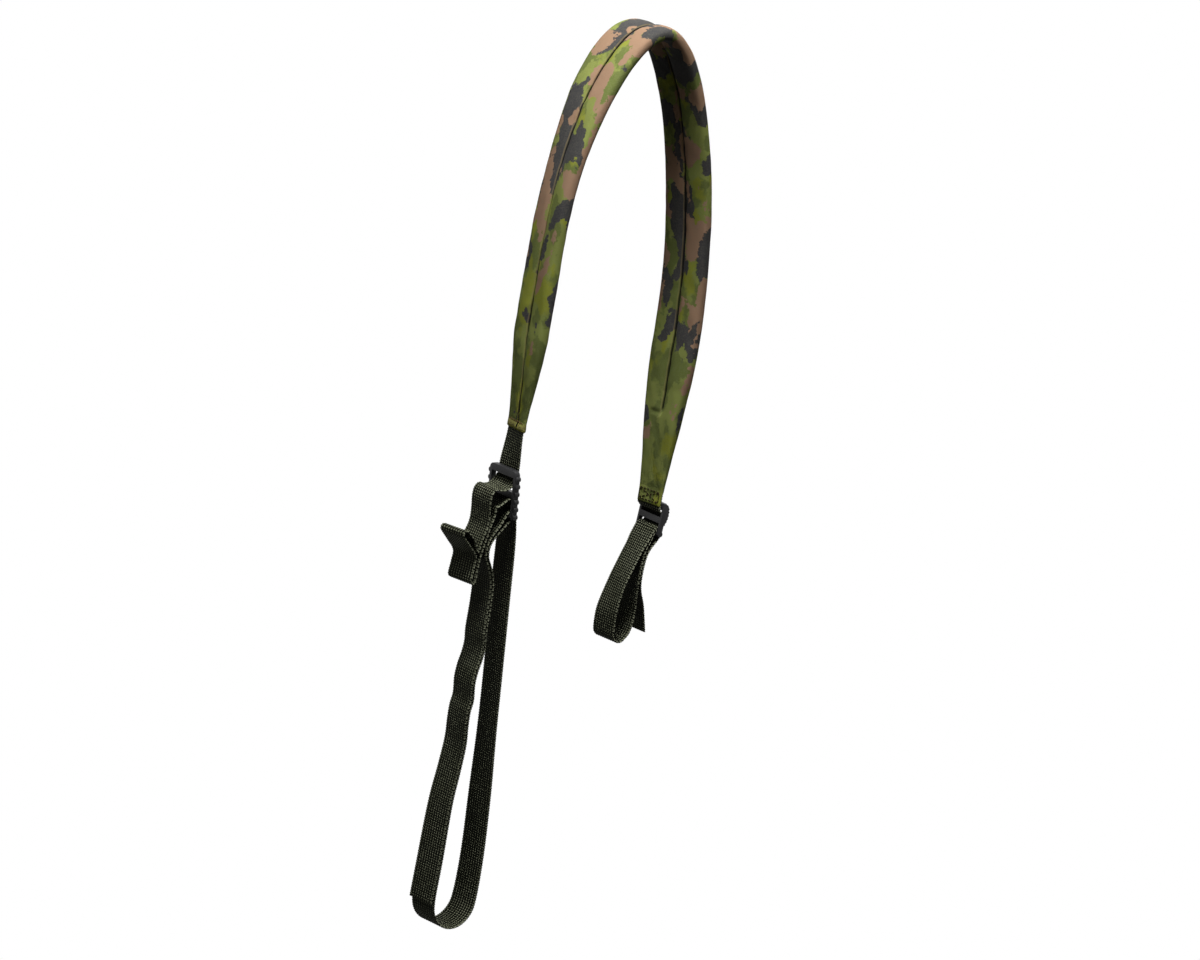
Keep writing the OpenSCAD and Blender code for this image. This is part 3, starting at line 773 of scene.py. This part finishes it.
def front_loop_points():
    low = front_bars[2]
    foot = low + pt(9, -LOOP_DROP + LOOP_R)
    lay = WEB_T + 2 * GAP

    def bulge(out, drop, off=0.0):
        return low + pt(-BULGE_OUT * out - lay * off, -BULGE_DROP * drop)

    def hung(out, drop):
        return low + pt(out, -LOOP_DROP * drop)

    def outer(off):
        return [low + pt(x - lay * off, -drop) for x, drop in RIPPLE]

    back, tail = bulge(0.44, 0.43), bulge(0.56, 0.3)
    return (
        arc(low, WRAP_2, loop_start + 2, loop_start, 1)
        + [loop_leave, hung(13, 0.2), hung(21, 0.46), hung(27.4, 0.7), foot + pt(LOOP_R + 0.6, 30)]
        + arc(foot, LOOP_R, 0, -180, 8)
        + [foot + pt(-LOOP_R + 0.2, 30)] + outer(0)[::-1]
        + [bulge(0.39, 1.9), bulge(0.68, 1.48), bulge(1, 1.15), bulge(0.99, 0.85), bulge(0.79, 0.64)]
        + [back]
        + arc(low, WRAP_1, meet(low, WRAP_1, back, 1), meet(low, WRAP_1, tail, -1) + 360, 10)
        + [tail, bulge(0.9, 0.54), bulge(1, 0.81, 1), bulge(1, 1.17, 1.05)]
        + [bulge(0.68, 1.52, 1), bulge(0.39, 1.94, 1)]
        + outer(1)
        + [foot + pt(-LOOP_R + 0.2 - lay, 30), foot + pt(-LOOP_R - lay - 0.8, TAIL_SHORT - LOOP_R)])


def threading_points():
    m, low = rear_bars[1], rear_bars[2]
    a = math.radians(REAR_LEAN)
    far = pt(math.cos(a), -math.sin(a)) * (FLAT_OFF + 0.7)
    down = pt(-math.sin(a), -math.cos(a))
    turn = m + far + down * 4.7 + pt(-1.5, 0)
    return (
        [pt(REAR_X, REAR_END + LAP + 3),
         pt(REAR_X, REAR_END),
         pt(REAR_X + 0.3, REAR_END - 2.5),
         pt(REAR_X + 1.5, REAR_END - 4.5),
         m + far * 0.05 - down * 5.3,
         m + far * 0.72 - down * 4.2,
         m + far - down * 1.9,
         m + far + pt(0.2, 0),
         turn]
        + arc(low, WRAP_2, meet(low, WRAP_2, turn, 1), 142, 3))


def rear_loop_points():
    low = rear_bars[2]
    foot = low + pt(-LOOP_IN, -REAR_LOOP + REAR_LOOP_R)

    def hung(inward, drop):
        return low + pt(-LOOP_IN * inward, -REAR_LOOP * drop)

    leave, back = hung(0.76, 0.225), hung(0.451, 0.18)
    return (
        arc(low, WRAP_2, 142.5, meet(low, WRAP_2, leave, -1) + 360, 2)
        + [leave, hung(0.95, 0.325), hung(1.142, 0.44), hung(1.296, 0.59)]
        + [hung(1.384, 0.743), hung(1.37, 0.85)]
        + arc(foot, REAR_LOOP_R, 190, 325, 6)
        + [hung(0.552, 0.925), hung(0.451, 0.862), hung(0.389, 0.725)]
        + [hung(0.43, 0.572), hung(0.489, 0.426), hung(0.497, 0.291), back]
        + arc(low, WRAP_1, meet(low, WRAP_1, back, -1), -268, 6))


def rear_tail_points():
    low = rear_bars[2]

    def hung(out, drop):
        return low + pt(TAIL_CURL * out, -REAR_TAIL * drop)

    off = hung(-0.9, 0.199)
    return (
        arc(low, WRAP_1, 90, meet(low, WRAP_1, off, 1), 6)
        + [off, hung(-1.2, 0.323), hung(-1.167, 0.472), hung(-0.84, 0.581)]
        + [hung(-0.08, 0.715), hung(1, 1)])


def rear_yaw(p):
    deep = REAR_END - p.y
    return REAR_TURN * ease((deep - 1) / 6) + 4 * ease((deep - 26) / 9) - 8 * ease((deep - 60) / 34)


def rear_aside(p):
    deep = REAR_END - p.y
    aside = REAR_MOUTH + (REAR_ASIDE - REAR_MOUTH) * ease((deep - 1) / 6)
    return aside * (1 - ease((deep - 45) / 50))


def at(p, drop=0.0):
    return (p.x * MM, 0.0, (p.y - drop) * MM)


stub = webbing("front_stub_webbing", stub_rows(), "front_stub")
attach(stub, "pad")
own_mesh(stub)

slack_rows = flat_rows(slack_points(), slack_yaw, front_aside)
slack = webbing("front_slack_webbing", slack_rows, "front_slack")
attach(slack, "front_carriage")

loop_rows = flat_rows(front_loop_points(), loop_yaw, front_aside, sway=0.04, seed=1.3)
loop = webbing("front_loop_webbing", loop_rows, "front_loop")
at(front_bars[2], 2)
at(front_bars[2], 40)
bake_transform(loop)

threading_rows = flat_rows(threading_points(), rear_yaw, rear_aside)
threading = webbing("rear_threading_webbing", threading_rows, "rear_threading")
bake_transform(threading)

rear_loop_rows = flat_rows(rear_loop_points(), rear_yaw, rear_aside)
rear_loop = webbing("rear_loop_webbing", rear_loop_rows, "rear_loop")
at(rear_bars[2], 1)
at(rear_bars[2], 24)
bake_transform(rear_loop)

tail_rows = flat_rows(rear_tail_points(), rear_yaw, rear_aside)
tail = webbing("rear_tail_webbing", tail_rows, "rear_tail")
at(rear_bars[2], 1)
at(rear_bars[2], 24)
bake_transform(tail)


# Sliders
def round_shoulder(bm, bar, lean, slot_w, cut):
    """Draws the back of a slider's side walls in towards their top, so that each shoulder is round."""
    a = math.radians(lean)
    back, up = pt(math.cos(a), -math.sin(a)), pt(math.sin(a), math.cos(a))
    for v in bm.verts:
        d = pt(v.co.x / MM, v.co.z / MM) - bar
        height = max(d.dot(up), 0) / (TOP_BAR / 2)
        if abs(v.co.y) > (slot_w / 2 + 0.1) * MM and d.dot(back) > 0:
            inward = back * cut * height ** 2 * MM
            v.co -= Vector((inward.x, 0, inward.y))


def slider(name, node, body, pivot, turn, aside, shape=None):
    """A copy of a slider's solid with its edges eased, hung a little turned about the vertical."""
    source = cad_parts[node]
    bm = bmesh.new()
    bm.from_mesh(source.data)
    if shape:
        shape(bm)
    hung = Matrix.Rotation(-math.radians(turn), 3, "Z")
    bmesh.ops.rotate(bm, cent=(pivot.x * MM, 0, 0), matrix=hung, verts=bm.verts)
    bmesh.ops.translate(bm, vec=(0, aside * MM, 0), verts=bm.verts)
    bmesh.ops.remove_doubles(bm, verts=bm.verts, dist=1e-6)
    bmesh.ops.dissolve_limit(bm, angle_limit=math.radians(1), verts=bm.verts, edges=bm.edges)
    for face in bm.faces:
        face.smooth = True
    piece = finished(name, bm)
    edge = piece.modifiers.new("edge", "BEVEL")
    edge.width, edge.segments = BEVEL * MM, 2
    edge.limit_method, edge.angle_limit = "ANGLE", math.radians(40)
    edge.harden_normals = True
    dress(piece, PLASTIC, "slider", node)
    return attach(piece, body)


def rear_shape(bm):
    round_shoulder(bm, rear_bars[0], REAR_LEAN, REAR_SLOT, SHOULDER)


slider("front_slider_moulding", "front_slider", "front_carriage", front_bars[1], FRONT_TURN, FRONT_ASIDE)
slider("rear_slider_moulding", "rear_slider", "rear_carriage", rear_bars[1], REAR_TURN, REAR_ASIDE,
       rear_shape)


# Stage
def shown(f):
    """1 for the rays that show the white background: the camera's own, and those from gloss or glass."""
    path = f.node("ShaderNodeLightPath").socket.node
    camera_ray, glossy, through_glass = (
        Wire(f, path.outputs[n]) for n in ("Is Camera Ray", "Is Glossy Ray", "Is Transmission Ray"))
    return (camera_ray + glossy + through_glass).step(0, 1)


def lay_floor():
    """A floor that shades off to plain white round the part, and that throws little light back up at it."""
    bm = bmesh.new()
    bmesh.ops.create_grid(bm, x_segments=1, y_segments=1, size=FLOOR_SIZE)
    bmesh.ops.translate(bm, vec=(0, 0, FLOOR_Z), verts=bm.verts)
    floor = finished("floor", bm)
    f = Finish("pale_floor")
    x, y, _ = f.split(f.place())
    reach = ((x * x + y * y) ** 0.5).step(*FLOOR_SHADE)
    seen = shown(f)
    pale = f.node("ShaderNodeBsdfDiffuse", sockets={"Color": f.mix(seen, grey(0.1), grey(0.6))})
    white = f.node("ShaderNodeEmission", sockets={"Color": grey(1), "Strength": 1.0})
    both = f.node("ShaderNodeMixShader", sockets={0: reach * seen, 1: pale, 2: white})
    f.node("ShaderNodeOutputMaterial", sockets={"Surface": both})
    floor.data.materials.append(f.material)


def light_room():
    room = Finish("soft_room", bpy.data.worlds)
    level = ROOM_LIGHT + shown(room) * (1 - ROOM_LIGHT)
    light = room.node("ShaderNodeBackground", sockets={"Color": grey(1), "Strength": level})
    room.node("ShaderNodeOutputWorld", sockets={"Surface": light})
    bpy.context.scene.world = room.material

    for name, place, size, cone, power in LIGHTS:
        lamp = bpy.data.lights.new(name, "AREA")
        lamp.size, lamp.spread, lamp.energy = size, math.radians(cone), power
        holder = bpy.data.objects.new(name, lamp)
        bpy.context.collection.objects.link(holder)
        holder.location = place
        aim = LIGHT_AIM - Vector(place)
        holder.rotation_euler = aim.to_track_quat("-Z", "Y").to_euler()


def set_camera():
    turn, lift, roll = (math.radians(a) for a in (CAMERA_TURN, CAMERA_LIFT, CAMERA_ROLL))
    away = Vector((math.sin(turn), math.cos(turn), 0))
    right = Vector((math.cos(turn), -math.sin(turn), 0))
    ahead = away * math.cos(lift) - Vector((0, 0, math.sin(lift)))
    up = away * math.sin(lift) + Vector((0, 0, math.cos(lift)))
    x = right * math.cos(roll) + up * math.sin(roll)
    y = up * math.cos(roll) - right * math.sin(roll)
    aim = Vector((0, 0, CAMERA_TOP)) + right * CAMERA_RIGHT - up * CAMERA_DOWN
    lens = bpy.data.cameras.new("camera")
    lens.sensor_width, lens.lens = SENSOR, SENSOR * CAMERA_FAR / CAMERA_WIDE
    holder = bpy.data.objects.new("camera", lens)
    bpy.context.collection.objects.link(holder)
    turned = Matrix((x, y, -ahead)).transposed().to_4x4()
    holder.matrix_world = Matrix.Translation(aim - ahead * CAMERA_FAR) @ turned
    bpy.context.scene.camera = holder


lay_floor()
light_room()
set_camera()
bpy.context.scene.view_settings.view_transform = "Standard"
